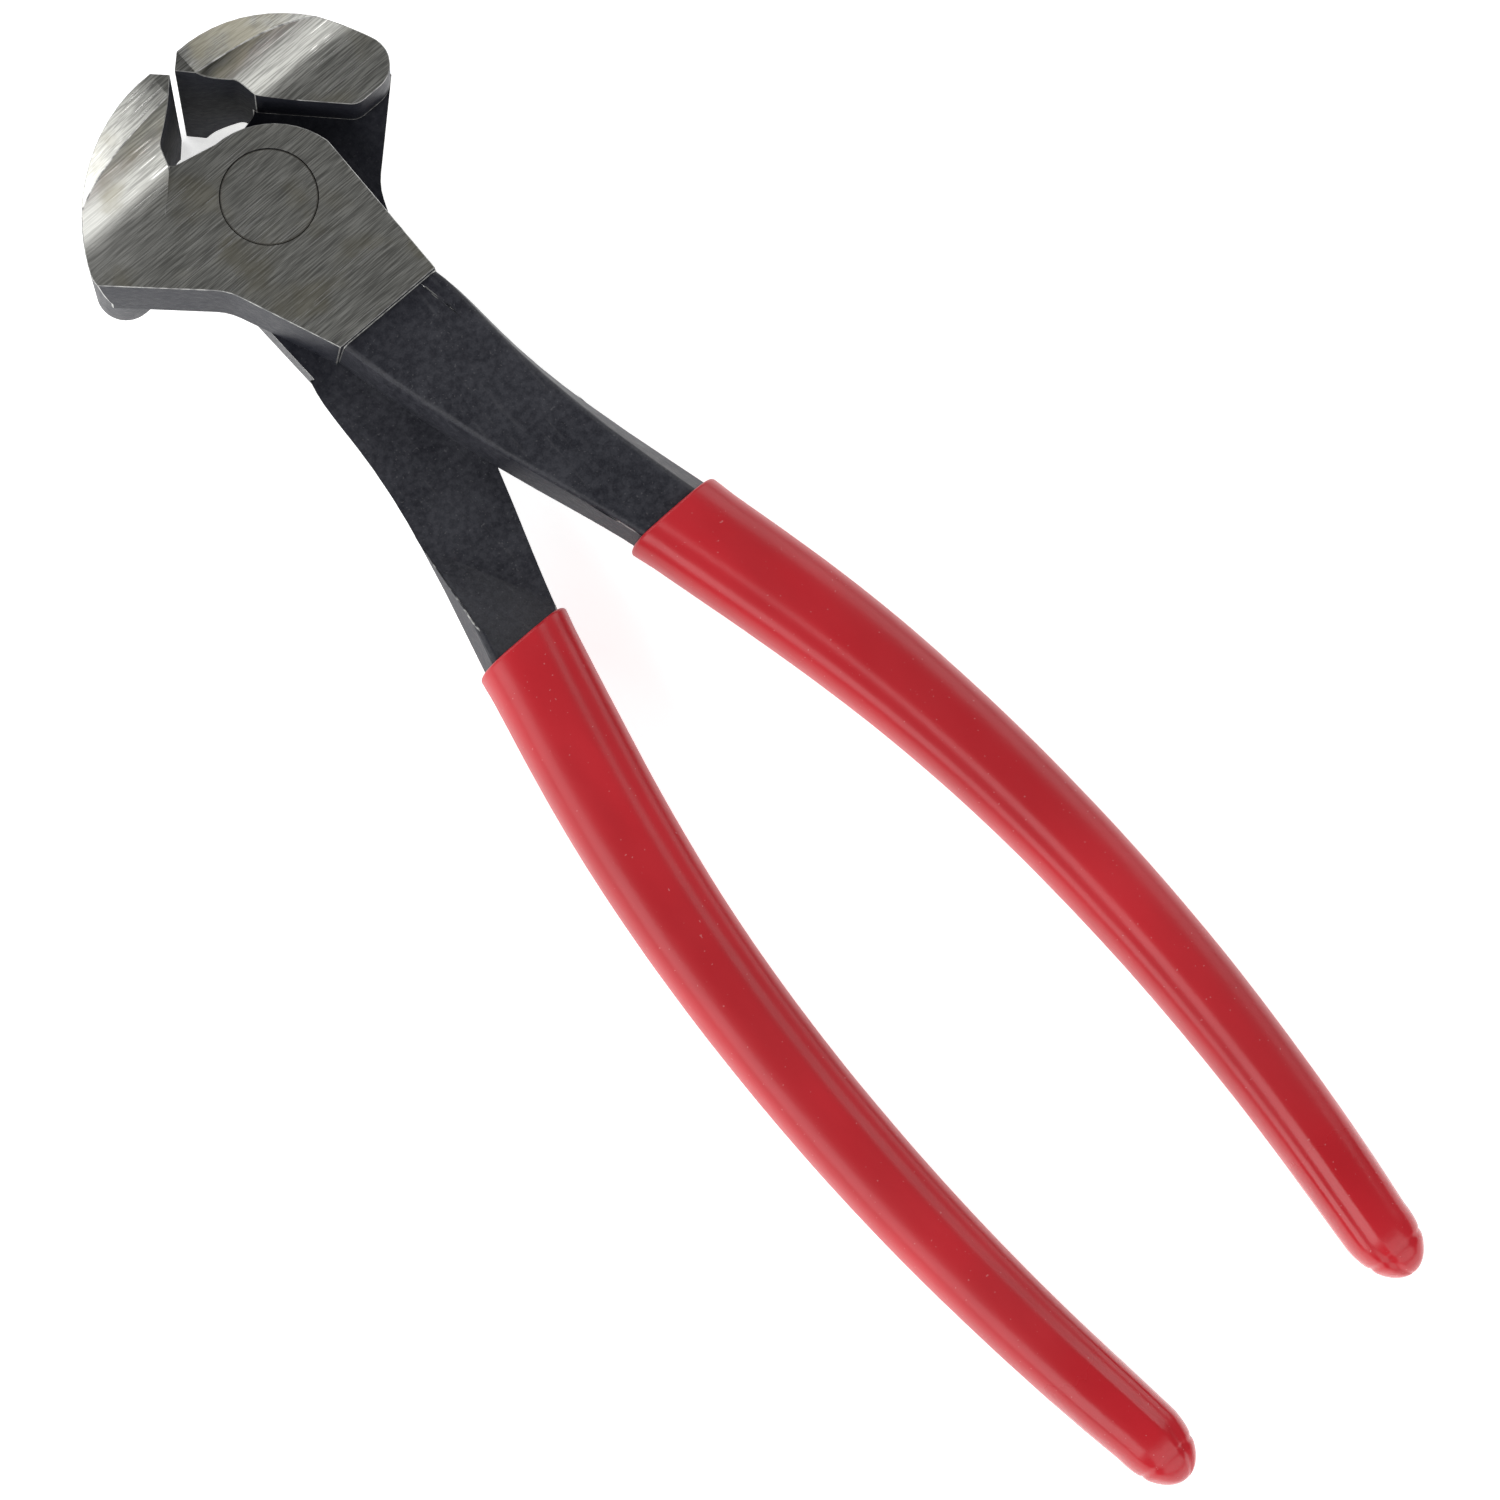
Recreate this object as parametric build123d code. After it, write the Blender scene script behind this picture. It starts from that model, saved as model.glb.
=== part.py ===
from build123d import *
from math import cos, radians, sin, sqrt, tan
import os

# Tile nippers: two forged halves crossing in a lap joint, a flush rivet through
# the joint, and a dipped vinyl grip on each handle. Millimetres.
# +Y points along the tool towards the jaws, +Z up, and the rivet's axis is Z.
# The halves are one shape, drawn below as the front half with its lap plane at
# Z = 0: the jaw on -X, the handle on +X. The rear half is the same turned half
# a turn about Y. At the end everything is lifted so that the rear joint face
# lies at Z = 0.

# joint
joint_thickness = 17.8          # ground face to ground face
lap_gap = 0.10                  # oiled gap between the two lap faces
disc_radius = 11.2              # round end of a half's joint plate
disc_saddle_x = -0.8            # where the plate's round end meets the hollow's floor
disc_corner = (12.2, 0.8)       # where it turns into the neck's straight side
disc_corner_radius = 2.0
neck_outer_x = 11.6             # the straight side at the step
neck_inner_x = -6.9             # the neck's other side at the step
ground_end_y = -24.1            # where the ground joint face steps down
wall_lean = 0.95                # forged walls stand out this much more at the lap
outer_wall_lean = 0.3

# jaw, in plan
edge_y = 21.1                   # cutting edge above the pivot
edge_gap = 0.92                 # between the two cutting edges as shown
bevel_run = 2.1                 # width of either bevel, measured along X
inner_bevel_drop = 2.2          # inner bevel, measured along Y
dome_radius = 24.66
dome_center = (-4.86, -1.45)
lobe_y = 2.0                    # lowest side of the jaw's back corner
lobe_radius = 4.5
shoulder_gap = 3.7              # between the shoulder and the other half's disc
shoulder_angle = 45.0
shoulder_radius = 3.0
shoulder_start_x = -9.0
shoulder_rise = 0.7             # upright stretch between the shoulder and the hollow
hollow_x = -8.35                # deepest side of the hollow behind the edge
hollow_bend = (-7.5, 15.7)      # where the hollow's wall turns towards the edge
hollow_bend_radius = 2.0
hollow_floor_y = 12.8
hollow_corner_radius = 1.6

# jaw, across its width
edge_width = 39.0               # length of the cutting edge
flare_toe_y = 7.5               # where the ground face starts to rise
flare_angle = 78.0
flare_radius = 11.2
crown_radius = 90.0             # the end faces curve down towards the back corner
crown_start_angle = 13.0
crown_sweep = 20.0
crown_start_x = -2.6

# underside of the jaw, crossing to the neck
throat_corner = (-13.9, -6.8)   # where the jaw's underside turns into the neck
throat_radius = 9.0
underside = (-26.5, 5.0)        # the underside runs from here to the throat
plate_root = ((-24.0, 9.0), (-11.3, 14.4))   # the plate's edge inside the jaw

# handle: y, middle x, width, fall of its face below the ground face, and bevel
# on the outer upper side
handle_end_y = -224.0
handle_stations = [
    (-34.0, 4.30, 19.0, 1.35, 1.4),
    (-44.0, 6.20, 17.2, 1.50, 1.7),
    (-54.0, 8.75, 16.0, 1.80, 2.2),
    (-64.0, 11.75, 15.0, 2.20, 2.7),
    (-74.0, 14.75, 14.4, 2.60, 3.0),
    (-90.0, 18.65, 14.2, 2.90, 3.0),
    (-110.0, 22.80, 13.3, 3.10, 2.8),
    (-135.0, 26.00, 12.0, 3.30, 2.6),
    (-160.0, 27.20, 11.2, 3.50, 2.4),
    (-185.0, 26.65, 10.4, 3.70, 2.2),
    (-208.0, 24.70, 9.7, 3.90, 2.1),
    (handle_end_y, 22.75, 9.0, 4.10, 2.0),
]
face_step = 1.3                 # ground face above the forged handle face
neck_overlap = 0.5              # the handle starts this far inside the neck
handle_shoulder_outer = 1.0     # the handle stands out past the neck
handle_shoulder_inner = 0.6
first_bevel = 1.3
side_draft = 1.2                # each drafted side leans in by this much
far_side_draft = 1.4            # outer side, under the parting line
handle_corner_radius = 1.0
ramp_angle = 35.0               # rise of the lap's end into the full handle
ramp_foot = ((17.0, -52.0), (5.5, -75.0))   # line along the ramp's foot

# vinyl grips
grip_wall = 1.15
grip_start_y = -74.0
tip_start_gap = 2.0             # the tip starts to round before the steel ends
tip_length = 8.7
grip_corner_radius = 3.4
grip_outer_bevel = 1.6          # the vinyl fills the steel's wide bevel
tip_shift_x = -0.2              # the tip turns slightly outwards
tip_turn = 84.0                 # degrees of rounding down to the flat end
tip_steps = 4

# rivet
rivet_shank_radius = 5.0
rivet_head_radius = 7.3
rivet_head_depth = 3.0
rivet_tail_radius = 6.6
rivet_tail_depth = 2.2
shank_running_clearance = 0.05
head_running_clearance = 0.10
head_seat_gap = 0.05

half_joint = joint_thickness / 2
reach = 60.0                    # longer than any cut needs to be
grip_straight_end_y = handle_end_y + tip_start_gap


def on_dome(y):
    """Point of the dome's circle on the jaw side at height y."""
    rise = y - dome_center[1]
    return (dome_center[0] - sqrt(dome_radius ** 2 - rise ** 2), y)


def shoulder_start():
    """Top of the sloped shoulder, clear of the other half's disc."""
    lean = radians(shoulder_angle)
    offset = disc_radius + shoulder_gap
    return (shoulder_start_x, (offset + shoulder_start_x * sin(lean)) / cos(lean))


def nearest_vertex(shape, point):
    return shape.vertices().sort_by_distance((point[0], point[1], 0))[0]


def jaw_outline():
    """Plan of a jaw: edge, bevels, dome, back corner, shoulder and hollow."""
    edge = (-edge_gap / 2, edge_y)
    crest_x = edge[0] - bevel_run
    crest = (crest_x, dome_center[1] + sqrt(dome_radius ** 2 - (crest_x - dome_center[0]) ** 2))
    bevel_end = (crest_x, edge_y - inner_bevel_drop)
    middle = (dome_center[0] - dome_radius * cos(radians(45)),
              dome_center[1] + dome_radius * sin(radians(45)))
    back = on_dome(lobe_y)
    start = shoulder_start()
    foot = (start[0] - (start[1] - lobe_y) / tan(radians(shoulder_angle)), lobe_y)
    wall_low = (hollow_x, start[1] + shoulder_rise)
    lines = Curve() + [
        Line(edge, crest),
        ThreePointArc(crest, middle, back),
        Polyline(back, foot, start, wall_low, hollow_bend, bevel_end, edge),
    ]
    outline = make_face(lines)
    radii = ((back, lobe_radius), (foot, shoulder_radius), (hollow_bend, hollow_bend_radius))
    for corner, radius in radii:
        outline = fillet(nearest_vertex(outline, corner), radius)
    return outline


def flare_prism():
    """Side view of the jaw faces: flat, then rising to the full edge width."""
    turn = radians(flare_angle)
    arc_end = (flare_toe_y + flare_radius * sin(turn),
               half_joint + flare_radius * (1 - cos(turn)))
    arc_middle = (flare_toe_y + flare_radius * sin(turn / 2),
                  half_joint + flare_radius * (1 - cos(turn / 2)))
    top = edge_width / 2
    slope_end = (arc_end[0] + (top - arc_end[1]) / tan(turn), top)
    upper = Curve() + [
        Line((-reach, 0), (-reach, half_joint)),
        Line((-reach, half_joint), (flare_toe_y, half_joint)),
        ThreePointArc((flare_toe_y, half_joint), arc_middle, arc_end),
        Line(arc_end, slope_end),
        Line(slope_end, (reach, top)),
        Line((reach, top), (reach, 0)),
        Line((reach, 0), (-reach, 0)),
    ]
    side = extrude(Plane.YZ * make_face(upper), amount=reach, both=True)
    return side + mirror(side, Plane.XY)


def on_crown(angle):
    """Point of the crown's arc, at an angle from the vertical."""
    first = radians(crown_start_angle)
    return (crown_start_x - crown_radius * (sin(angle) - sin(first)),
            edge_width / 2 - crown_radius * (cos(first) - cos(angle)))


def crown_prism():
    """End view of the jaw faces: level by the edge, curving down outwards."""
    top = edge_width / 2
    middle = on_crown(radians(crown_start_angle + crown_sweep / 2))
    end = on_crown(radians(crown_start_angle + crown_sweep))
    upper = Curve() + [
        Line((reach, 0), (reach, top)),
        Line((reach, top), (crown_start_x, top)),
        ThreePointArc((crown_start_x, top), middle, end),
        Line(end, (end[0], 0)),
        Line((end[0], 0), (reach, 0)),
    ]
    side = extrude(Plane.XZ * make_face(upper), amount=reach, both=True)
    return side + mirror(side, Plane.XY)


def under_underside():
    """Room under the leaning wall that the jaw's back corner shares with the neck."""
    run = Vector(throat_corner[0] - underside[0], throat_corner[1] - underside[1], 0).normalized()
    down_the_wall = Vector(-wall_lean, -wall_lean, -half_joint)
    wall = Plane(origin=(*underside, half_joint), x_dir=run, z_dir=down_the_wall.cross(run))
    if wall.z_dir.Y > 0:
        wall = -wall
    return wall * Pos(0, 0, reach) * Box(4 * reach, 4 * reach, 2 * reach)


def jaw():
    block = extrude(jaw_outline(), amount=edge_width / 2, both=True) - under_underside()
    slab = Box(2 * reach, 2 * reach, joint_thickness)
    return block & (slab + (flare_prism() & crown_prism()))


def plate_outline(lean, outer_lean):
    """Plan of the joint plate, its forged sides standing out by the leans."""
    diagonal = disc_radius * sin(radians(45))
    disc_top = (disc_saddle_x, sqrt(disc_radius ** 2 - disc_saddle_x ** 2))
    disc_low = (disc_corner[0] + outer_lean, disc_corner[1])
    floor_corner = (hollow_x, hollow_floor_y)
    floor_start = (hollow_x, hollow_floor_y + hollow_corner_radius)
    throat = (throat_corner[0] - lean, throat_corner[1] - lean)
    lines = Curve() + [
        ThreePointArc(disc_top, (diagonal, diagonal), disc_low),
        Polyline(disc_low, (neck_outer_x + outer_lean, ground_end_y),
                 (neck_inner_x - lean, ground_end_y), throat,
                 (underside[0] - lean, underside[1] - lean), *plate_root,
                 floor_start, floor_corner, disc_top),
    ]
    outline = make_face(lines)
    radii = ((disc_low, disc_corner_radius), (throat, throat_radius),
             (floor_corner, hollow_corner_radius))
    for corner, radius in radii:
        outline = fillet(nearest_vertex(outline, corner), radius)
    return outline


def joint_plate():
    """Half-thickness plate: disc round the rivet, underside of the jaw, neck."""
    lap_face = Pos(0, 0, lap_gap / 2) * plate_outline(wall_lean, outer_wall_lean)
    ground_face = Pos(0, 0, half_joint) * plate_outline(0, 0)
    return loft([lap_face, ground_face], ruled=True)


def first_station():
    """The handle where it leaves the neck, a little wider than the neck."""
    inner = neck_inner_x - handle_shoulder_inner
    outer = neck_outer_x + handle_shoulder_outer
    return (ground_end_y + neck_overlap, (inner + outer) / 2, outer - inner, face_step, first_bevel)


def blended_station(y):
    """Handle sizes at any y, straight between the stations."""
    for upper, lower in zip(stations, stations[1:]):
        if lower[0] <= y <= upper[0]:
            share = (upper[0] - y) / (upper[0] - lower[0])
            return tuple(a + (b - a) * share for a, b in zip(upper, lower))


def handle_section(y, middle_x, width, fall, outer_bevel, grow=0.0, corner=handle_corner_radius):
    """Drafted section of a handle, or of a grip that stands grow outside it."""
    side = width / 2 + grow
    high = half_joint - fall + grow
    points = [
        (middle_x - side, 0),
        (middle_x - side + side_draft, high),
        (middle_x + side - outer_bevel, high),
        (middle_x + side, 0),
        (middle_x + side - far_side_draft, -high),
        (middle_x - side + side_draft, -high),
    ]
    face = make_face(Polyline(*points, close=True))
    face = fillet(face.vertices(), corner)
    # local X stays +X and local Y becomes +Z
    return Plane(origin=(0, y, 0), x_dir=(1, 0, 0), z_dir=(0, -1, 0)) * face


def handle():
    return loft([handle_section(*station) for station in stations])


def lap_cut():
    """Room for the other half under the lap plane, ending in a sloped ramp."""
    (x1, y1), (x2, y2) = ramp_foot
    along = Vector(x2 - x1, y2 - y1, 0).normalized()
    outward = Vector(-along.Y, along.X, 0)
    if outward.Y < 0:
        outward = -outward
    lean = radians(ramp_angle)
    normal = outward * sin(lean) + Vector(0, 0, -cos(lean))
    ramp = Plane(origin=(x1, y1, lap_gap / 2), x_dir=along, z_dir=-normal)
    box = Pos(0, 0, lap_gap / 2 - reach / 2) * Box(4 * reach, 4 * reach, reach)
    beyond = ramp * Pos(0, 0, -reach) * Box(6 * reach, 6 * reach, 2 * reach)
    neck = Pos(0, ground_end_y + neck_overlap + reach, 0) * Box(4 * reach, 2 * reach, 4 * reach)
    return (box & beyond) - neck


def half():
    """Forged half with no rivet hole, drawn as the front one."""
    return jaw() + joint_plate() + (handle() - lap_cut())


def grip_section(y, middle_x, width, fall):
    return handle_section(y, middle_x, width, fall, grip_outer_bevel,
                          grow=grip_wall, corner=grip_corner_radius)


def grip(steel):
    """Dipped sleeve over a handle, closed round its end."""
    first = blended_station(grip_start_y)[:4]
    last = blended_station(grip_straight_end_y)[:4]
    inner = [s[:4] for s in stations if last[0] < s[0] < first[0]]
    sleeve = loft([grip_section(*s) for s in [first] + inner + [last]])
    return sleeve + loft(tip_sections(last)) - steel


def tip_sections(last):
    """The last full section, scaled down about its middle as it rounds the end."""
    full = grip_section(0, 0, *last[2:])
    full_turn = radians(tip_turn)
    sections = []
    for step in range(tip_steps + 1):
        turn = full_turn * step / tip_steps
        y = last[0] - tip_length * sin(turn) / sin(full_turn)
        sections.append(Pos(last[1] + tip_shift_x * sin(turn), y, 0) * scale(full, by=cos(turn)))
    return sections


def rivet_tail():
    place = Pos(0, 0, -half_joint + rivet_tail_depth / 2)
    return place * Cone(rivet_tail_radius, rivet_shank_radius, rivet_tail_depth)


def rivet():
    head_height = rivet_head_depth - head_seat_gap
    length = joint_thickness - head_height
    shank = Pos(0, 0, length / 2 - half_joint) * Cylinder(rivet_shank_radius, length)
    head = Pos(0, 0, half_joint - head_height / 2) * Cylinder(rivet_head_radius, head_height)
    return shank + head + rivet_tail()


def drilled_front(steel):
    bore = Cylinder(rivet_shank_radius + shank_running_clearance, 2 * joint_thickness)
    seat = Pos(0, 0, half_joint) * Cylinder(rivet_head_radius + head_running_clearance,
                                            2 * rivet_head_depth)
    return steel - bore - seat


def drilled_rear(steel):
    return steel - Cylinder(rivet_shank_radius, 2 * joint_thickness) - rivet_tail()


stations = [first_station()] + handle_stations
forging = half()
sleeve = grip(forging)
turn_over = Rot(0, 180, 0)
parts = {
    "front_half": drilled_front(forging),
    "rear_half": drilled_rear(turn_over * forging),
    "pivot_rivet": rivet(),
    "front_grip": sleeve,
    "rear_grip": turn_over * sleeve,
}

os.makedirs("parts", exist_ok=True)
for name, shape in parts.items():
    solids = shape.solids()
    print(name, len(solids), "solid", round(sum(s.volume for s in solids)), "mm3")
    export_step(Pos(0, 0, half_joint) * shape, f"parts/{name}.step")
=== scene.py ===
from math import cos, exp, pi, radians, sin

import bmesh
import bpy
import numpy as np
from mathutils import Matrix, Vector


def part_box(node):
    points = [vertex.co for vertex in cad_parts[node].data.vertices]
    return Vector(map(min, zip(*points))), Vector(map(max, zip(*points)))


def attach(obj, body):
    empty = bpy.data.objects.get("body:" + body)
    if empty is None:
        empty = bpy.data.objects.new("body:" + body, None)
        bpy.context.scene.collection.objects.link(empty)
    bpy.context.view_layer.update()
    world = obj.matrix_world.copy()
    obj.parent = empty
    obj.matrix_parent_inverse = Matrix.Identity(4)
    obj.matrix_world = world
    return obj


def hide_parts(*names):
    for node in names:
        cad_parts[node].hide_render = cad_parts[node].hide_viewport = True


bpy.ops.wm.read_factory_settings(use_empty=True)
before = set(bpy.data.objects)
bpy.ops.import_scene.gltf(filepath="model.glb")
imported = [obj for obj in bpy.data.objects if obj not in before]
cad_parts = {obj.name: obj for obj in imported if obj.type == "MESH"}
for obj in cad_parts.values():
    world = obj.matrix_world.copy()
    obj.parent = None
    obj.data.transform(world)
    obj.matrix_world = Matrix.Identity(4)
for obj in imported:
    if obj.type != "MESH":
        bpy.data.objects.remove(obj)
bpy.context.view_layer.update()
mm = 0.001
touching = 0.001 * mm
print("frame loaded")


# One wire of a node tree: arithmetic on it adds Math nodes.
class Wire:
    def __init__(self, tree, socket=None):
        self.tree = tree
        self.socket = socket

    def node(self, kind, inputs=None, settings=None, output=0):
        made = self.tree.nodes.new(kind)
        for name, value in (settings or {}).items():
            setattr(made, name, value)
        for name, value in (inputs or {}).items():
            if isinstance(value, Wire):
                self.tree.links.new(value.socket, made.inputs[name])
            else:
                made.inputs[name].default_value = value
        return Wire(self.tree, made.outputs[output])

    def math(self, operation, first, second=0.0):
        return self.node("ShaderNodeMath", {0: first, 1: second}, {"operation": operation})

    def vector(self, operation, first, second):
        return self.node("ShaderNodeVectorMath", {0: first, 1: second}, {"operation": operation})

    def scaled(self, factor):
        inputs = {0: self, "Scale": factor}
        return self.node("ShaderNodeVectorMath", inputs, {"operation": "SCALE"})

    # Inputs 6 and 7 and output 2 of a Mix node are its colours.
    def mix(self, factor, first, second):
        return self.node("ShaderNodeMix", {0: factor, 6: first, 7: second}, {"data_type": "RGBA"}, 2)

    # 0 below the low level, 1 above the high one, and a smooth rise between them.
    def rise(self, low, high):
        inputs = {0: self, 1: low, 2: high}
        return self.node("ShaderNodeMapRange", inputs, {"interpolation_type": "SMOOTHSTEP"})

    def noise(self, scale, detail=2.0, stretch=(1.0, 1.0, 1.0), shift=0.0):
        placed = self.node("ShaderNodeMapping", {0: self, 1: (shift, shift, shift), 3: stretch})
        return self.node("ShaderNodeTexNoise", {"Vector": placed, "Scale": scale, "Detail": detail})

    def __add__(self, other):
        return self.math("ADD", self, other)

    def __radd__(self, other):
        return self.math("ADD", other, self)

    def __sub__(self, other):
        return self.math("SUBTRACT", self, other)

    def __rsub__(self, other):
        return self.math("SUBTRACT", other, self)

    def __mul__(self, other):
        return self.math("MULTIPLY", self, other)

    def __rmul__(self, other):
        return self.math("MULTIPLY", other, self)

    def __truediv__(self, other):
        return self.math("DIVIDE", self, other)

    def __rtruediv__(self, other):
        return self.math("DIVIDE", other, self)

    def __neg__(self):
        return self.math("MULTIPLY", self, -1.0)


# A material's tree, with positions in millimetres in the shared frame.
def startMaterial(name):
    made = bpy.data.materials.new(name)
    made.use_nodes = True
    tree = made.node_tree
    shader = tree.nodes["Principled BSDF"]
    place = Wire(tree).node("ShaderNodeTexCoord", output="Object").scaled(1 / mm)
    return made, shader, place


def feed(shader, values):
    for name, value in values.items():
        if isinstance(value, Wire):
            value.tree.links.new(value.socket, shader.inputs[name])
        else:
            shader.inputs[name].default_value = value


def axisOf(place, axis):
    return place.node("ShaderNodeSeparateXYZ", {0: place}, output=axis)


def bump(place, height, distance):
    return place.node("ShaderNodeBump", {"Height": height, "Distance": distance})


# Patterns are noises, levels are the heights a noise is pulled apart between,
# and sides and heights are distances in millimetres from the pivot.
groundLook = {
    "tone": (0.24, 0.24, 0.225, 1),
    "paler": (0.50, 0.50, 0.47, 1),
    "stain": (0.26, 0.24, 0.17, 1),
    "scratch": (0.85, 0.85, 0.82, 1),
    # The colour of the painted highlight on the left jaw's outer side.
    "paintedHighlight": (0.60, 0.60, 0.57, 1),
    # The colour of the painted shade on the right jaw's top near its tip.
    "shaded": (0.075, 0.075, 0.072, 1),
    "grainPattern": {"scale": 1.0, "stretch": (0.20, 5.2, 0.9)},
    "grainLevels": (0.39, 0.62),
    "bandPattern": {"scale": 1.0, "stretch": (0.10, 1.9, 0.4), "shift": 7.0},
    "bandLevels": (0.3, 0.7),
    "bandShare": 0.28,
    "scratchPattern": {"scale": 1.0, "detail": 1.0, "stretch": (0.045, 3.4, 0.3), "shift": 31.0},
    "scratchLevels": (0.640, 0.675),
    "sparsePattern": {"scale": 0.22, "shift": 12.0},
    "sparseLevels": (0.42, 0.56),
    "scratchShare": 0.8,
    "blotchPattern": {"scale": 0.10, "detail": 4.0, "shift": 3.0},
    "blotchLevels": (0.50, 0.66),
    "stainShare": 0.5,
    "paintedHighlightSide": (9.0, 25.0),
    "paintedHighlightHeight": (0.0, 9.0),
    "paintedHighlightEvenly": 0.55,
    "scratchesUnderPaintedHighlight": 0.7,
    "shadedSide": (-2.0, 5.0),
    "shadedHeight": (13.0, 19.5),
    "shadedShare": 0.85,
    "roughness": 0.34,
    "roughnessOf": {"grain": 0.22, "scratch": 0.10, "blotch": 0.10},
    "relief": 0.007 * mm,
    "reliefOf": {"grain": 0.9, "band": 0.5, "scratch": 0.3},
}


def groundSteel():
    look = groundLook
    made, shader, place = startMaterial("ground_steel")
    across, along = axisOf(place, 0), axisOf(place, 1)
    grain = place.noise(**look["grainPattern"])
    band = place.noise(**look["bandPattern"])
    blotch = place.noise(**look["blotchPattern"])
    scratch = place.noise(**look["scratchPattern"]).rise(*look["scratchLevels"])
    scratch = scratch * place.noise(**look["sparsePattern"]).rise(*look["sparseLevels"])
    brushed = grain.rise(*look["grainLevels"]) * (1 - look["bandShare"])
    brushed = brushed + band.rise(*look["bandLevels"]) * look["bandShare"]
    # Painted highlight: the left jaw's outer side is made paler where the light falls on it, and
    # scratches fade under it.
    paintedHighlight = (-across).rise(*look["paintedHighlightSide"]) * along.rise(*look["paintedHighlightHeight"])
    # Painted shade on the right jaw's top near its tip, where scratches fade too.
    shaded = across.rise(*look["shadedSide"]) * along.rise(*look["shadedHeight"])
    scratch = scratch * (1.0 - shaded) * (1.0 - look["scratchesUnderPaintedHighlight"] * paintedHighlight)

    tone = place.mix(brushed, look["tone"], look["paler"])
    # The painted highlight, streaked along the grain.
    streaked = look["paintedHighlightEvenly"] + (1 - look["paintedHighlightEvenly"]) * brushed
    tone = place.mix(paintedHighlight * streaked, tone, look["paintedHighlight"])
    dim = place.mix(brushed, look["shaded"], look["tone"])
    tone = place.mix(shaded * look["shadedShare"], tone, dim)
    tone = place.mix(blotch.rise(*look["blotchLevels"]) * look["stainShare"], tone, look["stain"])
    tone = place.mix(scratch * look["scratchShare"], tone, look["scratch"])

    rougher, higher = look["roughnessOf"], look["reliefOf"]
    rough = look["roughness"] + (grain - 0.5) * rougher["grain"] - scratch * rougher["scratch"]
    rough = rough + (blotch - 0.5) * rougher["blotch"]
    relief = grain * higher["grain"] + band * higher["band"] - scratch * higher["scratch"]
    feed(shader, {
        "Base Color": tone,
        "Metallic": 1.0,
        "Roughness": rough,
        "Normal": bump(place, relief, look["relief"]),
    })
    return made


oxideLook = {
    "dark": (0.012, 0.0125, 0.017, 1),
    "light": (0.038, 0.039, 0.047, 1),
    # The colour of the painted shade over the head and in the hollow between the jaws.
    "paintedShadeTone": (0.004, 0.005, 0.010, 1),
    "speck": (0.10, 0.10, 0.105, 1),
    "cloudPattern": {"scale": 0.16, "detail": 4.0},
    "cloudLevels": (0.30, 0.72),
    "skinPattern": {"scale": 0.95, "detail": 5.0, "shift": 9.0},
    "skinLevels": (0.38, 0.64),
    "finePattern": {"scale": 3.6, "detail": 3.0, "shift": 21.0},
    "fineLevels": (0.38, 0.62),
    "lightOf": {"cloud": 0.35, "skin": 0.4, "fine": 0.25},
    "dustPattern": {"scale": 2.9, "detail": 0.0, "shift": 41.0},
    "dustLevels": (0.775, 0.80),
    "rubPattern": {"scale": 1.0, "stretch": (0.9, 0.07, 0.9), "shift": 17.0},
    "rubLevels": (0.62, 0.72),
    "speckOf": {"dust": 0.35, "rub": 0.12},
    "hollowHeight": (9.0, 12.0),
    "hollowSide": (8.2, 9.4),
    "headHeight": (-30.0, -18.0),
    "paintedShadeOf": {"head": 0.5, "hollow": 0.9},
    "roughness": 0.44,
    "roughnessOf": {"hollow": 0.3, "skin": 0.26, "cloud": 0.18, "rub": 0.05},
    "specular": 0.20,
    "relief": 0.07 * mm,
    "fineRelief": 0.35,
}


def blackOxide():
    look = oxideLook
    made, shader, place = startMaterial("forged_steel")
    across, along = axisOf(place, 0), axisOf(place, 1)
    cloud = place.noise(**look["cloudPattern"])
    skin = place.noise(**look["skinPattern"])
    fine = place.noise(**look["finePattern"])
    dust = place.noise(**look["dustPattern"]).rise(*look["dustLevels"])
    rub = place.noise(**look["rubPattern"]).rise(*look["rubLevels"])
    sideways = place.math("ABSOLUTE", across)
    # Painted shade: the oxide is darker over the whole head and darkest in the hollow between the
    # jaws.
    hollow = along.rise(*look["hollowHeight"]) * (1.0 - sideways.rise(*look["hollowSide"]))
    head = along.rise(*look["headHeight"])

    lighter, brighter, deeper = look["lightOf"], look["speckOf"], look["paintedShadeOf"]
    light = cloud.rise(*look["cloudLevels"]) * lighter["cloud"]
    light = light + skin.rise(*look["skinLevels"]) * lighter["skin"]
    light = light + fine.rise(*look["fineLevels"]) * lighter["fine"]
    tone = place.mix(light, look["dark"], look["light"])
    tone = place.mix(dust * brighter["dust"] + rub * brighter["rub"], tone, look["speck"])
    tone = place.mix(head * deeper["head"], tone, look["paintedShadeTone"])
    tone = place.mix(hollow * deeper["hollow"], tone, look["paintedShadeTone"])

    rougher = look["roughnessOf"]
    rough = look["roughness"] + hollow * rougher["hollow"] + (skin - 0.5) * rougher["skin"]
    rough = rough + (cloud - 0.5) * rougher["cloud"] - rub * rougher["rub"]
    feed(shader, {
        "Base Color": tone,
        "Metallic": 0.0,
        "Specular IOR Level": look["specular"],
        "Roughness": rough,
        "Normal": bump(place, skin + fine * look["fineRelief"], look["relief"]),
    })
    return made


edgeLook = {
    "bright": (0.55, 0.55, 0.53, 1),
    "dull": (0.030, 0.031, 0.037, 1),
    "chipPattern": {"scale": 1.0, "detail": 4.0, "stretch": (0.8, 0.45, 0.8), "shift": 5.0},
    "chipLevels": (0.46, 0.60),
    "patchPattern": {"scale": 0.13, "shift": 27.0},
    "patchLevels": (0.36, 0.54),
    "handleShare": 0.85,
    "headHeight": (-27.5, -26.0),
    "headChipLevels": (0.35, 0.6),
    "headShare": 0.30,
    "headChipShare": 0.6,
    "roughness": 0.36,
    "roughnessOfChip": 0.2,
    "metal": 0.35,
    "metalOfBare": 0.6,
}


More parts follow.
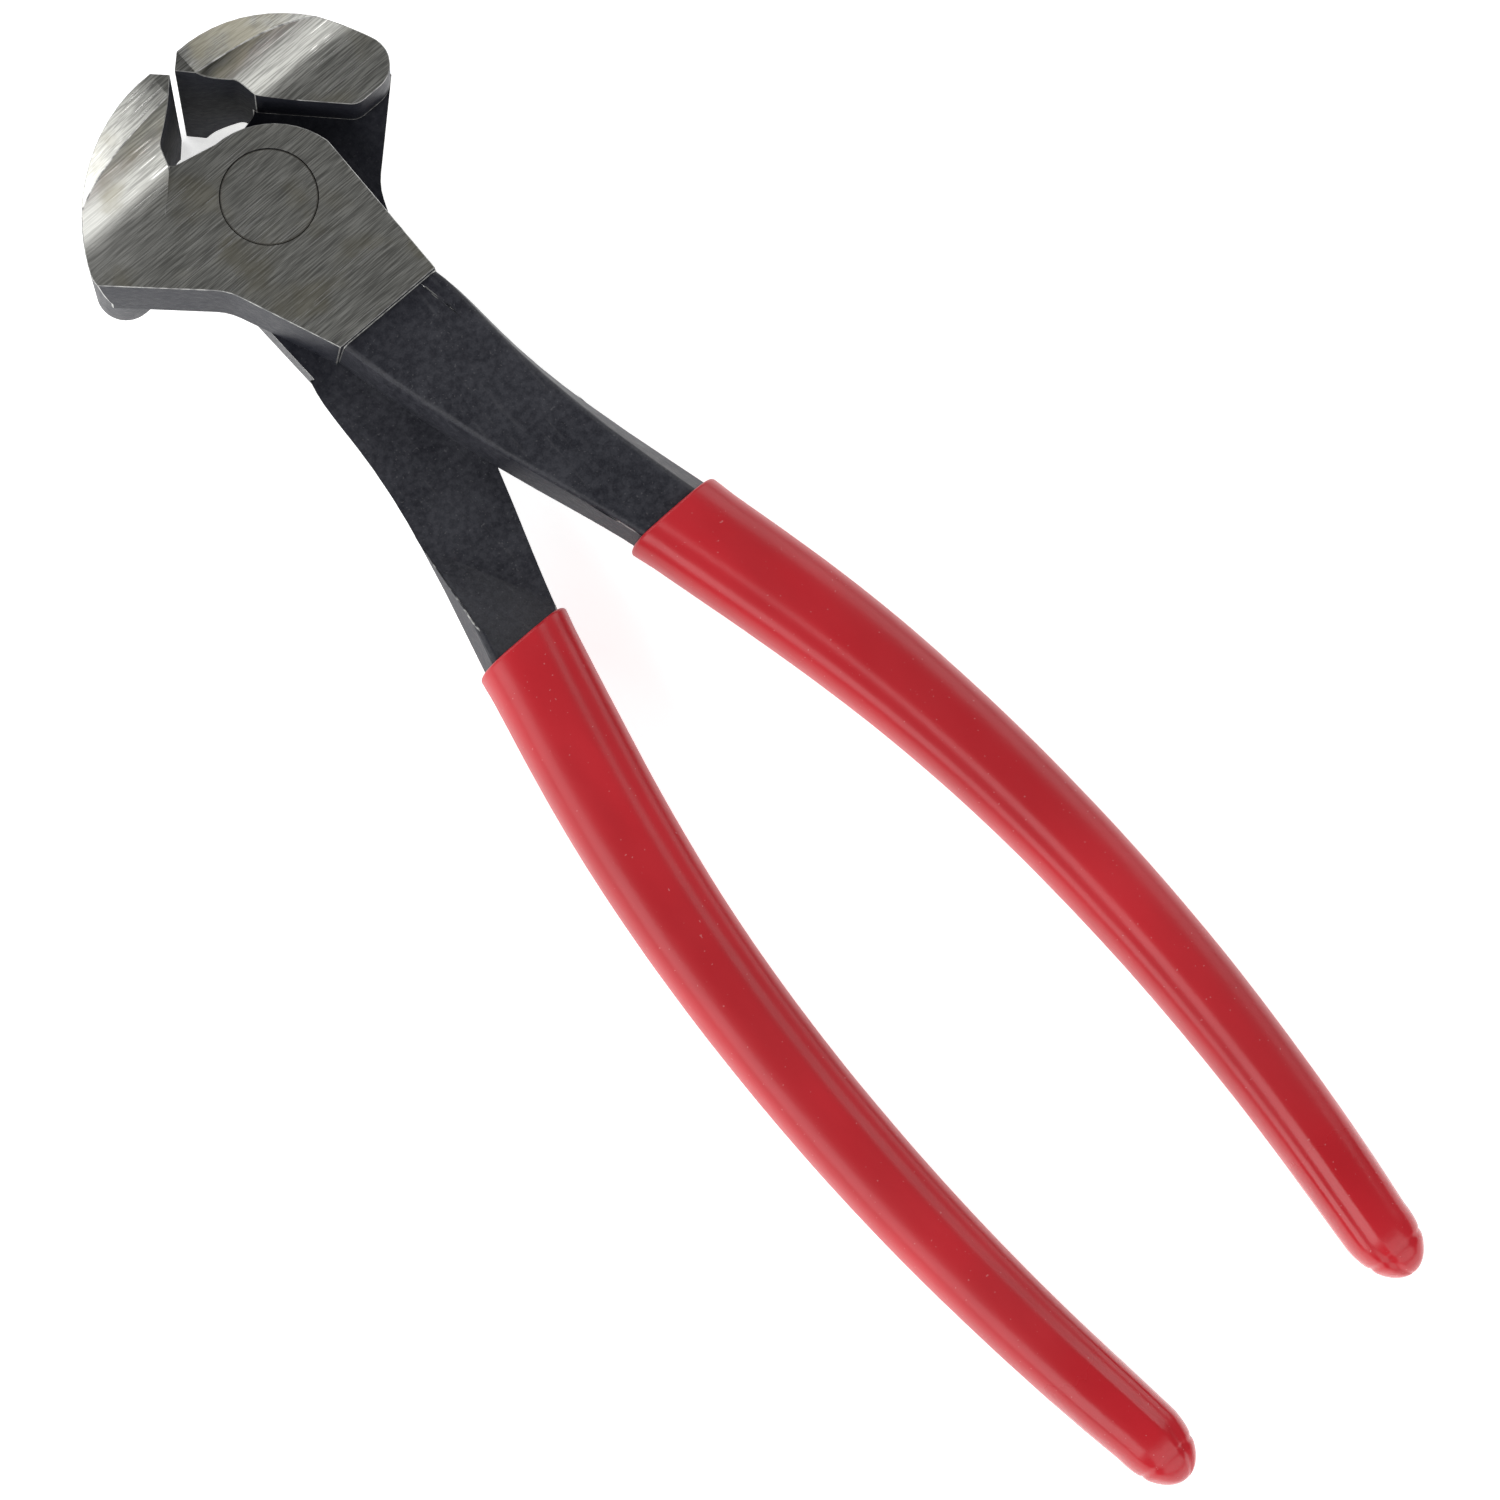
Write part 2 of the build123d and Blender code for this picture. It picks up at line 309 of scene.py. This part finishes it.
# Bright where the oxide has chipped off: in patches on the handles, all along on the head.
def wornEdge():
    look = edgeLook
    made, shader, place = startMaterial("worn_edge")
    head = axisOf(place, 1).rise(*look["headHeight"])
    chip = place.noise(**look["chipPattern"])
    patch = place.noise(**look["patchPattern"]).rise(*look["patchLevels"])
    onHandle = chip.rise(*look["chipLevels"]) * patch * look["handleShare"]
    onHead = look["headShare"] + look["headChipShare"] * chip.rise(*look["headChipLevels"])
    bare = onHandle * (1.0 - head) + head * onHead
    feed(shader, {
        "Base Color": place.mix(bare, look["dull"], look["bright"]),
        "Metallic": look["metal"] + bare * look["metalOfBare"],
        "Roughness": look["roughness"] + (chip - 0.5) * look["roughnessOfChip"],
    })
    return made


seamLook = {
    "dark": (0.020, 0.019, 0.016, 1),
    "light": (0.07, 0.065, 0.055, 1),
    "pattern": {"scale": 1.2, "detail": 3.0},
    "metal": 0.3,
    "roughness": 0.62,
}


# A painted shadow for the thin gap round each end of the rivet, darker and lighter at random.
def seamShadow():
    look = seamLook
    made, shader, place = startMaterial("seam_shadow")
    feed(shader, {
        "Base Color": place.mix(place.noise(**look["pattern"]), look["dark"], look["light"]),
        "Metallic": look["metal"],
        "Roughness": look["roughness"],
    })
    return made


vinylLook = {
    "tone": (0.45, 0.014, 0.022, 1),
    "deeper": (0.36, 0.010, 0.016, 1),
    "dust": (0.62, 0.34, 0.34, 1),
    "cloudPattern": {"scale": 0.06, "detail": 3.0, "stretch": (1.0, 0.4, 1.0)},
    "cloudLevels": (0.3, 0.7),
    "dustPattern": {"scale": 2.3, "detail": 0.0, "shift": 51.0},
    "dustLevels": (0.83, 0.84),
    "dustShare": 0.25,
    "roughness": 0.40,
    "handledPattern": {"scale": 0.14, "detail": 4.0, "stretch": (1.0, 0.45, 1.0), "shift": 19.0},
    "roughnessOfHandled": 0.20,
    "tipHeight": (196.0, 214.0),
    "tipPolish": 0.17,
    "ior": 1.52,
    "specular": 0.34,
    "coat": 0.07,
    "coatRoughness": 0.20,
    "peelPattern": {"scale": 0.55, "stretch": (1.0, 0.7, 1.0), "shift": 13.0},
    "finePattern": {"scale": 2.2, "shift": 33.0},
    "fineRelief": 0.12,
    "relief": 0.035 * mm,
}


def dippedVinyl():
    look = vinylLook
    made, shader, place = startMaterial("dipped_vinyl")
    cloud = place.noise(**look["cloudPattern"])
    dust = place.noise(**look["dustPattern"]).rise(*look["dustLevels"])
    handled = place.noise(**look["handledPattern"])
    peel = place.noise(**look["peelPattern"])
    fine = place.noise(**look["finePattern"])
    tips = (-axisOf(place, 1)).rise(*look["tipHeight"])
    tone = place.mix(cloud.rise(*look["cloudLevels"]), look["deeper"], look["tone"])
    tone = place.mix(dust * look["dustShare"], tone, look["dust"])
    rough = look["roughness"] - tips * look["tipPolish"] + (handled - 0.5) * look["roughnessOfHandled"]
    feed(shader, {
        "Base Color": tone,
        "Roughness": rough,
        "IOR": look["ior"],
        "Specular IOR Level": look["specular"],
        "Coat Weight": look["coat"],
        "Coat Roughness": look["coatRoughness"],
        "Normal": bump(place, peel + fine * look["fineRelief"], look["relief"]),
    })
    return made


groundMaterial = groundSteel()
oxideMaterial = blackOxide()
edgeMaterial = wornEdge()
seamMaterial = seamShadow()
vinylMaterial = dippedVinyl()
print("materials made")


steelFinish = {
    "flatTurn": radians(0.3),
    "sharpest": radians(36),
    "segments": 2,
}


# A merged copy of a CAD node's triangles, with its flat faces joined up again.
def mergedCopy(node, shortest):
    made = bmesh.new()
    made.from_mesh(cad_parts[node].data)
    bmesh.ops.remove_doubles(made, verts=made.verts, dist=shortest)
    bmesh.ops.dissolve_degenerate(made, edges=made.edges, dist=shortest / 2)
    flatTurn = steelFinish["flatTurn"]
    bmesh.ops.dissolve_limit(made, angle_limit=flatTurn, verts=made.verts, edges=made.edges)
    return made


# Shades each corner from the faces that meet there smoothly, wide ones counting most.
def shadeByArea(mesh):
    limit = cos(steelFinish["sharpest"])
    normals = np.array([face.normal for face in mesh.polygons])
    areas = np.array([face.area for face in mesh.polygons])
    around = [[] for vertex in mesh.vertices]
    for face in mesh.polygons:
        for vertex in face.vertices:
            around[vertex].append(face.index)
    corners = []
    for face in mesh.polygons:
        own = normals[face.index]
        for vertex in face.vertices:
            near = [i for i in around[vertex] if normals[i] @ own > limit]
            total = areas[near] @ normals[near] + own * 1e-12  # never zero, even on a sliver
            corners.append(total / np.linalg.norm(total))
    mesh.polygons.foreach_set("use_smooth", [True] * len(mesh.polygons))
    mesh.normals_split_custom_set(corners)


# What an object's modifiers make of it, as a mesh of its own.
def plainMesh(made):
    bpy.context.view_layer.update()
    evaluated = made.evaluated_get(bpy.context.evaluated_depsgraph_get())
    return bpy.data.meshes.new_from_object(evaluated)


# Rounds the weighted edges in the last material and keeps the wide faces flat.
def finishSteel(name, mesh, widest, materials):
    made = bpy.data.objects.new(name, mesh)
    bpy.context.scene.collection.objects.link(made)
    for material in materials:
        mesh.materials.append(material)
    rounded = made.modifiers.new("rounded edges", "BEVEL")
    rounded.limit_method = "WEIGHT"
    rounded.width = widest
    rounded.segments = steelFinish["segments"]
    rounded.material = len(materials) - 1
    rounded.use_clamp_overlap = False
    solid = plainMesh(made)
    made.modifiers.clear()
    made.data = solid
    shadeByArea(solid)
    return made


halfLook = {
    "shortest": 0.02 * mm,
    "softest": {"head": radians(18), "neck": radians(55), "handle": radians(31)},
    "neckEnd": -38.0 * mm,
    "spread": radians(14),
    "handleEdge": 0.20 * mm,
    "headEdge": 0.14 * mm,
    "cuttingEdge": 0.06 * mm,
    "hiddenEdge": 0.05 * mm,
    "headEnd": -24.4 * mm,
    "coveredStart": -80.0 * mm,
    "cuttingStart": 20.4 * mm,
    "lapHeight": 8.9 * mm,
    "lapBand": 0.3 * mm,
    "rivetHead": 7.6 * mm,
    "beakHalf": 3.2 * mm,
    "groundMargin": 0.4 * mm,
    "headMargin": 1.0 * mm,
    "sunk": 0.3 * mm,
    "proud": 0.1 * mm,
    "proudTilt": 0.10,
    "levelTilt": 0.30,
    "broadTilt": 0.8,
    "toe": {
        "inner": 8.6 * mm,
        "outer": 13.0 * mm,
        "low": 8.5 * mm,
        "high": 12.9 * mm,
        "sunk": 0.01 * mm,
    },
}


# How far a point stands out past the joint's two outer faces.
def beyondJoint(point):
    return abs(point.z - halfLook["lapHeight"]) - halfLook["lapHeight"]


# True beside the hollow, where the flare runs out into the joint face.
def atToe(point):
    toe = halfLook["toe"]
    if beyondJoint(point) < -toe["sunk"]:
        return False
    return toe["inner"] < abs(point.x) < toe["outer"] and toe["low"] < point.y < toe["high"]


# How wide an edge of a half is rounded, by where it lies.
def halfEdge(edge):
    middle = (edge.verts[0].co + edge.verts[1].co) / 2
    if middle.y < halfLook["coveredStart"]:
        return 0.0
    if abs(middle.z - halfLook["lapHeight"]) < halfLook["lapBand"]:
        return halfLook["hiddenEdge"]
    if Vector((middle.x, middle.y)).length < halfLook["rivetHead"]:
        return 0.0
    if atToe(middle):
        return 0.0
    if middle.y > halfLook["cuttingStart"]:
        return halfLook["cuttingEdge"]
    if middle.y > halfLook["headEnd"]:
        return halfLook["headEdge"]
    return halfLook["handleEdge"]


# True for the faces left bare by grinding.
def isGround(face):
    middle = face.calc_center_median()
    if min(v.co.y for v in face.verts) < halfLook["headEnd"] - halfLook["groundMargin"]:
        return False
    atBeak = middle.y > halfLook["cuttingStart"] and abs(middle.x) < halfLook["beakHalf"]
    if atToe(middle) or atBeak:
        return True
    beyond = beyondJoint(middle)
    if beyond < -halfLook["sunk"]:
        return False
    side = 1.0 if middle.z > halfLook["lapHeight"] else -1.0
    tilt = halfLook["proudTilt"] if beyond > halfLook["proud"] else halfLook["levelTilt"]
    return face.normal.z * side > tilt


# How soft an edge may be and stay sharp; creases across a handle's broad faces always do.
def softestTurn(edge):
    height = min(v.co.y for v in edge.verts)
    broad = all(abs(face.normal.z) > halfLook["broadTilt"] for face in edge.link_faces)
    if height < halfLook["headEnd"] and broad:
        return pi
    if height > halfLook["headEnd"] - halfLook["headMargin"]:
        return halfLook["softest"]["head"]
    return halfLook["softest"]["neck" if height > halfLook["neckEnd"] else "handle"]


def refinedHalf(node):
    made = mergedCopy(node, halfLook["shortest"])
    weights = made.edges.layers.float.new("bevel_weight_edge")
    made.normal_update()
    for face in made.faces:
        face.material_index = 0 if isGround(face) else 1
    for edge in made.edges:
        share = (edge.calc_face_angle(0.0) - softestTurn(edge)) / halfLook["spread"]
        if share > 0.0:
            edge[weights] = min(share, 1.0) * halfEdge(edge) / halfLook["handleEdge"]
    mesh = bpy.data.meshes.new(node + "_body")
    made.to_mesh(mesh)
    made.free()
    materials = [groundMaterial, oxideMaterial, edgeMaterial]
    return finishSteel(node + "_forging", mesh, halfLook["handleEdge"], materials)


forgings = {}
for node, body in (("front_half", "front"), ("rear_half", "rear")):
    forgings[node] = refinedHalf(node)
    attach(forgings[node], body)
    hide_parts(node)
    print("forging", node, len(forgings[node].data.polygons), "faces")

rivetLook = {
    "rim": 0.22 * mm,
    "shortest": 0.01 * mm,
    "sharpest": radians(60),
}


# The rivet with a rim of painted shadow round each end, for the thin gap to its hole.
def rimmedRivet():
    made = mergedCopy("pivot_rivet", rivetLook["shortest"])
    weights = made.edges.layers.float.new("bevel_weight_edge")
    for edge in made.edges:
        level = abs(edge.verts[0].co.z - edge.verts[1].co.z) < touching
        if level and edge.calc_face_angle(0.0) > rivetLook["sharpest"]:
            edge[weights] = 1.0
    mesh = bpy.data.meshes.new("rivet_body")
    made.to_mesh(mesh)
    made.free()
    return finishSteel("rivet", mesh, rivetLook["rim"], [groundMaterial, seamMaterial])


rivet = rimmedRivet()
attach(rivet, "rear")
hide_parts("pivot_rivet")
print("rivet made")


gripLook = {
    "spacing": 1.0 * mm,
    "segments": 128,
    "reach": 30.0 * mm,
    "tipCentre": 7.6 * mm,
    "tipStations": 22,
    "lineOrder": 6,
    "lipRadius": 0.55 * mm,
    "lipStations": 6,
    "lipTuck": 2.4 * mm,
    "bead": 0.16 * mm,
    "beadLength": 2.2 * mm,
    "crease": 0.20 * mm,
    "creaseTurn": 33.0,
    "creaseWidth": 3.2,
    "cap": 0.12 * mm,
    "capStart": 38.0,
    "capRise": 2.0,
    "wave": 0.10 * mm,
    "waveScale": 70.0,
    "soften": 0.13,
    "groove": 0.40 * mm,
    "grooveWidth": 0.16,
    "grooveBearing": {"front_grip": radians(119), "rear_grip": radians(61)},
    "seed": {"front_grip": 4.0, "rear_grip": 5.0},
}


# The middle of the CAD sleeve's box at each height, as a smooth line.
def sleeveLine(mesh, heights):
    points = np.array([v.co for v in mesh.vertices], float)
    ends = np.array([e.vertices for e in mesh.edges], int)
    first, second = points[ends[:, 0]], points[ends[:, 1]]
    middles = []
    for height in heights:
        crossing = (first[:, 1] - height) * (second[:, 1] - height) < 0
        a, b = first[crossing], second[crossing]
        share = (height - a[:, 1]) / (b[:, 1] - a[:, 1])
        cut = a + (b - a) * share[:, None]
        middles.append((cut.min(0) + cut.max(0)) / 2)
    middles = np.array(middles)
    return [np.polyfit(middles[:, 1], middles[:, axis], gripLook["lineOrder"]) for axis in (0, 2)]


# Points from the grip's tip to its lip. Each carries how far its ring is turned towards
# the tip, swollen, and led along the handle, and whether it keeps to the sleeve.
def gripStations(node):
    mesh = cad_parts[node].data
    low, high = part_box(node)
    tip = low.y + gripLook["tipCentre"]
    lip = high.y - gripLook["lipRadius"]
    heights = np.linspace(tip, lip, int((lip - tip) / gripLook["spacing"]))
    lineX, lineZ = sleeveLine(mesh, heights)
    stations = []

    def add(height, turn=0.0, swell=0.0, lead=0.0, keep=1.0):
        point = (np.polyval(lineX, height), height, np.polyval(lineZ, height))
        stations.append((point, turn, swell, lead, keep))

    for step in range(gripLook["tipStations"]):
        turn = 90.0 * (1 - step / gripLook["tipStations"])
        dent = exp(-(((turn - gripLook["creaseTurn"]) / gripLook["creaseWidth"]) ** 2))
        onCap = 1 / (1 + exp(-(turn - gripLook["capStart"]) / gripLook["capRise"]))
        swell = gripLook["cap"] * onCap * cos(radians(turn)) - gripLook["crease"] * dent
        add(tip, radians(turn), swell)
    for height in heights:
        bead = gripLook["bead"] * exp(-(((lip - height) / gripLook["beadLength"]) ** 2))
        add(height, 0.0, bead)
    for step in range(1, gripLook["lipStations"] + 1):
        angle = pi / 2 * step / gripLook["lipStations"]
        inward = gripLook["bead"] - gripLook["lipRadius"] * (1 - cos(angle))
        add(lip, 0.0, inward, gripLook["lipRadius"] * sin(angle))
    add(lip, 0.0, gripLook["bead"] - gripLook["lipTuck"], gripLook["lipRadius"])
    add(lip, 0.0, 0.0, 0.0, 0.0)
    line = bpy.data.meshes.new(node + "_line")
    line.from_pydata([s[0] for s in stations], [], [])
    for index, name in enumerate(("turn", "swell", "lead", "keep"), 1):
        layer = line.attributes.new(name, "FLOAT", "POINT")
        layer.data.foreach_set("value", [s[index] for s in stations])
    return line


# Wraps rings of points round the stations and presses them onto the sleeve's outer wall.
def sleeveTree():
    tree = bpy.data.node_groups.new("grip sleeve", "GeometryNodeTree")
    sockets = (
        ("Geometry", "NodeSocketGeometry"),
        ("Sleeve", "NodeSocketObject"),
        ("Segments", "NodeSocketInt"),
        ("Reach", "NodeSocketFloat"),
        ("Wave", "NodeSocketFloat"),
        ("Wave Scale", "NodeSocketFloat"),
        ("Soften", "NodeSocketFloat"),
        ("Groove", "NodeSocketFloat"),
        ("Groove Width", "NodeSocketFloat"),
        ("Groove Bearing", "NodeSocketFloat"),
        ("Seed", "NodeSocketFloat"),
        ("Material", "NodeSocketMaterial"),
    )
    for name, kind in sockets:
        tree.interface.new_socket(name, in_out="INPUT", socket_type=kind)
    tree.interface.new_socket("Geometry", in_out="OUTPUT", socket_type="NodeSocketGeometry")
    entry = tree.nodes.new("NodeGroupInput")
    given = {name: Wire(tree, entry.outputs[name]) for name, kind in sockets}
    start = Wire(tree)
    line = given["Geometry"]
    count = start.node("GeometryNodeAttributeDomainSize", {"Geometry": line}, output="Point Count")
    across = given["Segments"] + 1
    grid = start.node("GeometryNodeMeshGrid", {"Vertices X": count, "Vertices Y": across})
    index = start.node("GeometryNodeInputIndex")
    station = start.math("FLOOR", (index + 0.5) / across)
    angle = (index - station * across) / given["Segments"] * (2 * pi)

    def sampled(name):
        value = start.node("GeometryNodeInputNamedAttribute", {"Name": name}, {"data_type": "FLOAT"})
        inputs = {"Geometry": line, "Value": value, "Index": station}
        return start.node("GeometryNodeSampleIndex", inputs, {"data_type": "FLOAT"})

    position = start.node("GeometryNodeInputPosition")
    sampler = {"Geometry": line, "Value": position, "Index": station}
    middle = start.node("GeometryNodeSampleIndex", sampler, {"data_type": "FLOAT_VECTOR"})
    turn = sampled("turn")
    level = start.math("COSINE", turn)
    sleeve = start.node("GeometryNodeObjectInfo", {"Object": given["Sleeve"]}, output="Geometry")

    def outwardAt(bearing):
        parts = {
            "X": start.math("COSINE", bearing) * level,
            "Y": -start.math("SINE", turn),
            "Z": start.math("SINE", bearing) * level,
        }
        return start.node("ShaderNodeCombineXYZ", parts)

    def wallAt(bearing):
        direction = outwardAt(bearing)
        ray = {
            "Target Geometry": sleeve,
            "Source Position": middle.vector("ADD", middle, direction.scaled(given["Reach"])),
            "Ray Direction": direction.scaled(-1.0),
            "Ray Length": given["Reach"],
        }
        return start.node("GeometryNodeRaycast", ray, output="Hit Position")

    outward = outwardAt(angle)
    rays = [wallAt(angle + given["Soften"] * step) for step in (-2.0, -1.0, 0.0, 1.0, 2.0)]
    wall = rays[0]
    for ray in rays[1:]:
        wall = start.vector("ADD", wall, ray)
    wall = wall.scaled(1 / len(rays))
    noise = {"Vector": wall, "Scale": given["Wave Scale"], "W": given["Seed"], "Detail": 1.0}
    wave = start.node("ShaderNodeTexNoise", noise, {"noise_dimensions": "4D"}) - 0.5
    offLine = (angle - given["Groove Bearing"]) / given["Groove Width"]
    groove = start.math("EXPONENT", -(offLine * offLine)) * level * given["Groove"]
    swell = sampled("swell") + wave * given["Wave"] - groove
    swollen = outward.scaled(swell)
    lead = start.node("ShaderNodeCombineXYZ", {"Y": sampled("lead")})
    surface = start.vector("ADD", start.vector("ADD", wall, swollen), lead)
    blend = {0: sampled("keep"), 4: middle, 5: surface}  # a Mix node's vectors
    final = start.node("ShaderNodeMix", blend, {"data_type": "VECTOR"}, 1)
    placed = start.node("GeometryNodeSetPosition", {"Geometry": grid, "Position": final})
    joined = start.node("GeometryNodeMergeByDistance", {"Geometry": placed, "Distance": touching})
    smooth = start.node("GeometryNodeSetShadeSmooth", {"Geometry": joined})
    whole = start.node("GeometryNodeRealizeInstances", {"Geometry": smooth})
    coated = start.node("GeometryNodeSetMaterial", {"Geometry": whole, "Material": given["Material"]})
    outlet = tree.nodes.new("NodeGroupOutput")
    tree.links.new(coated.socket, outlet.inputs["Geometry"])
    return tree


sleeve = sleeveTree()


def dippedGrip(node):
    made = bpy.data.objects.new(node + "_vinyl", gripStations(node))
    bpy.context.scene.collection.objects.link(made)
    values = {
        "Sleeve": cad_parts[node],
        "Segments": gripLook["segments"],
        "Reach": gripLook["reach"],
        "Wave": gripLook["wave"],
        "Wave Scale": gripLook["waveScale"],
        "Soften": gripLook["soften"],
        "Groove": gripLook["groove"],
        "Groove Width": gripLook["grooveWidth"],
        "Groove Bearing": gripLook["grooveBearing"][node],
        "Seed": gripLook["seed"][node],
        "Material": vinylMaterial,
    }
    maker = made.modifiers.new("grip sleeve", "NODES")
    maker.node_group = sleeve
    for item in sleeve.interface.items_tree:
        if item.in_out == "INPUT" and item.name in values:
            maker[item.identifier] = values[item.name]
    mesh = plainMesh(made)
    made.modifiers.clear()
    shell = bmesh.new()
    shell.from_mesh(mesh)
    bmesh.ops.recalc_face_normals(shell, faces=shell.faces)
    openEdges = sum(not edge.is_manifold for edge in shell.edges)
    print(node, "grip", len(shell.faces), "faces", openEdges, "open edges")
    shell.to_mesh(mesh)
    shell.free()
    made.data = mesh
    return made


for node, body in (("front_grip", "front"), ("rear_grip", "rear")):
    grip = dippedGrip(node)
    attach(grip, body)
    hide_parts(node)
print("grips made")


floorLook = {
    "lowY": 21.0 * mm,
    "lowZ": -10.75 * mm,
    "slope": -0.0553,
    "size": 12.0,
    "tone": (0.96, 0.96, 0.96, 1),
    "glow": 0.62,
    "roughness": 0.9,
    "specular": 0.1,
}


# The floor leans a little, so that the jaws and the grips' ends all rest on it.
def floorPoint(x, y):
    return (x, y, floorLook["lowZ"] + floorLook["slope"] * (y - floorLook["lowY"]))


size = floorLook["size"]
corners = [floorPoint(x, y) for x, y in ((-size, -size), (size, -size), (size, size), (-size, size))]
floorMesh = bpy.data.meshes.new("floor")
floorMesh.from_pydata(corners, [], [(0, 1, 2, 3)])
floor = bpy.data.objects.new("floor", floorMesh)
bpy.context.scene.collection.objects.link(floor)
floorMaterial, shader, place = startMaterial("floor_paper")
feed(shader, {
    "Base Color": floorLook["tone"],
    "Roughness": floorLook["roughness"],
    "Specular IOR Level": floorLook["specular"],
    "Emission Color": floorLook["tone"],
    "Emission Strength": floorLook["glow"],
})
floorMesh.materials.append(floorMaterial)

# Soft boxes round the sides, so that what faces straight up stays dark.
lightLook = {
    "aim": (0.0, -0.1, 0.0),
    "boxes": {
        "left": {"place": (-0.85, -0.05, 0.60), "side": 1.0, "power": 10.2},
        "near": {"place": (-0.05, -0.95, 0.60), "side": 1.0, "power": 5.4},
        "right": {"place": (0.95, 0.10, 0.60), "side": 0.9, "power": 5.6},
        "far": {"place": (-0.15, 0.95, 0.45), "side": 0.9, "power": 5.0},
    },
    "room": 0.15,
}
for name, given in lightLook["boxes"].items():
    lamp = bpy.data.lights.new(name, "AREA")
    lamp.shape = "SQUARE"
    lamp.size = given["side"]
    lamp.energy = given["power"]
    box = bpy.data.objects.new(name, lamp)
    box.location = given["place"]
    aim = Vector(given["place"]) - Vector(lightLook["aim"])
    box.rotation_euler = aim.to_track_quat("Z", "Y").to_euler()
    bpy.context.scene.collection.objects.link(box)

world = bpy.data.worlds.new("studio")
world.use_nodes = True
background = world.node_tree.nodes["Background"]
feed(background, {"Color": (1, 1, 1, 1), "Strength": lightLook["room"]})
bpy.context.scene.world = world
bpy.context.scene.view_settings.view_transform = "Standard"
print("floor and lights made")

cameraLook = {
    "place": (-0.1052, -0.1572, 0.7978),
    "right": (0.74753, -0.66162, 0.05871),
    "up": (0.65094, 0.74731, 0.13348),
    "back": (-0.13219, -0.06157, 0.98931),
    "lens": 129.03,
    "sensor": 36,
    "nearest": 10 * mm,
}
lens = bpy.data.cameras.new("camera")
lens.lens = cameraLook["lens"]
lens.sensor_width = cameraLook["sensor"]
lens.clip_start = cameraLook["nearest"]
camera = bpy.data.objects.new("camera", lens)
axes = [Vector(cameraLook[name]) for name in ("right", "up", "back")]
camera.matrix_world = Matrix.Translation(cameraLook["place"]) @ Matrix(axes).transposed().to_4x4()
bpy.context.scene.collection.objects.link(camera)
bpy.context.scene.camera = camera
